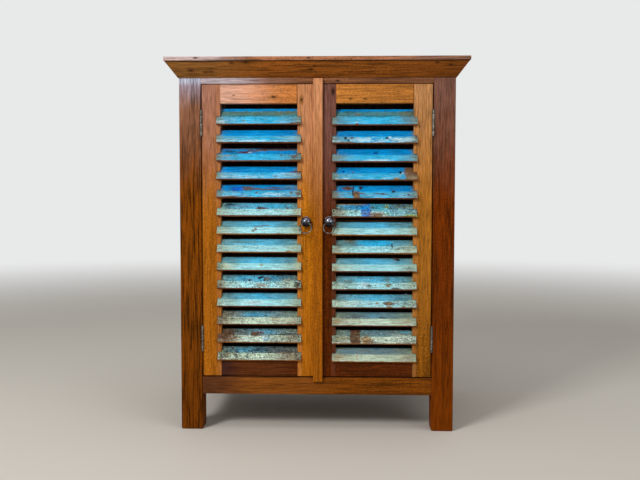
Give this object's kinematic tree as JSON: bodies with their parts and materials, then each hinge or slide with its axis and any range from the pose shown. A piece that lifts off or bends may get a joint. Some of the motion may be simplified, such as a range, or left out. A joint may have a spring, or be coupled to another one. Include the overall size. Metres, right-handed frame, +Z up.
{
  "type": "louvred door cabinet",
  "caption": "Freestanding wooden cupboard on square legs with a mitred cornice, a pair of louvred doors of painted slats, an overlapping meeting strip and black ring pulls.",
  "frame": {"origin": "on the floor, at the middle of the overall box in plan", "axes": "+Z up, -Y out of the front with the doors, +X to the right of someone who faces the doors"},
  "size_m": [0.708, 0.45, 0.88],
  "materials": {
    "brown_wood": "satin brown stain over reclaimed wood",
    "dark_wood": "satin dark red-brown stain",
    "golden_wood": "satin golden brown stain",
    "pale_wood": "satin pinkish tan stain",
    "board_wood": "plain matt board",
    "azure_paint": "weathered azure paint over bare wood",
    "pale_paint": "weathered pale aqua paint over bare wood",
    "worn_paint": "worn grey-green and cream paint over bare wood",
    "black_metal": "glossy black",
    "hinge_steel": "tarnished brown steel"
  },
  "bodies": {
    "cabinet": {"leg_front_left": "brown_wood", "leg_front_right": "dark_wood", "leg_back_left": "brown_wood", "leg_back_right": "dark_wood", "front_top_rail": "brown_wood", "front_bottom_rail": "brown_wood", "side_panel_left": "brown_wood", "side_panel_right": "brown_wood", "back_panel": "board_wood", "bottom_board": "board_wood", "shelf": "board_wood", "top_board": "brown_wood", "cornice_front": "brown_wood", "cornice_left": "brown_wood", "cornice_right": "brown_wood", "left_upper_hinge": "hinge_steel", "left_lower_hinge": "hinge_steel", "right_upper_hinge": "hinge_steel", "right_lower_hinge": "hinge_steel"},
    "left_door": {"left_door_hinge_stile": "golden_wood", "left_door_meeting_stile": "golden_wood", "left_door_top_rail": "pale_wood", "left_door_bottom_rail": "dark_wood", "left_slat_01": "azure_paint", "left_slat_02": "azure_paint", "left_slat_03": "azure_paint", "left_slat_04": "azure_paint", "left_slat_05": "azure_paint", "left_slat_06": "pale_paint", "left_slat_07": "pale_paint", "left_slat_08": "pale_paint", "left_slat_09": "pale_paint", "left_slat_10": "worn_paint", "left_slat_11": "pale_paint", "left_slat_12": "worn_paint", "left_slat_13": "worn_paint", "left_slat_14": "worn_paint", "left_pull_boss": "black_metal", "astragal": "golden_wood"},
    "right_door": {"right_door_hinge_stile": "golden_wood", "right_door_meeting_stile": "dark_wood", "right_door_top_rail": "golden_wood", "right_door_bottom_rail": "dark_wood", "right_slat_01": "azure_paint", "right_slat_02": "azure_paint", "right_slat_03": "azure_paint", "right_slat_04": "azure_paint", "right_slat_05": "azure_paint", "right_slat_06": "azure_paint", "right_slat_07": "pale_paint", "right_slat_08": "pale_paint", "right_slat_09": "pale_paint", "right_slat_10": "worn_paint", "right_slat_11": "pale_paint", "right_slat_12": "pale_paint", "right_slat_13": "worn_paint", "right_slat_14": "worn_paint", "right_pull_boss": "black_metal"},
    "left_ring": {"left_pull_ring": "black_metal"},
    "right_ring": {"right_pull_ring": "black_metal"}
  },
  "joints": [
    {"name": "left_door_hinge", "type": "hinge", "parent": "cabinet", "child": "left_door", "pos_m": [-0.272, -0.1962, 0.475], "axis": [0, 0, -1], "range_deg": [0, 150]},
    {"name": "right_door_hinge", "type": "hinge", "parent": "cabinet", "child": "right_door", "pos_m": [0.272, -0.1962, 0.475], "axis": [0, 0, 1], "range_deg": [0, 150]},
    {"name": "left_ring_pivot", "type": "hinge", "parent": "left_door", "child": "left_ring", "pos_m": [-0.0251, -0.2075, 0.494], "axis": [-1, 0, 0], "range_deg": [0, 100]},
    {"name": "right_ring_pivot", "type": "hinge", "parent": "right_door", "child": "right_ring", "pos_m": [0.0294, -0.2075, 0.494], "axis": [-1, 0, 0], "range_deg": [0, 100]}
  ],
  "couplings": [
    {"joint": "right_door_hinge", "follows": "left_door_hinge", "ratio": 1}
  ]
}
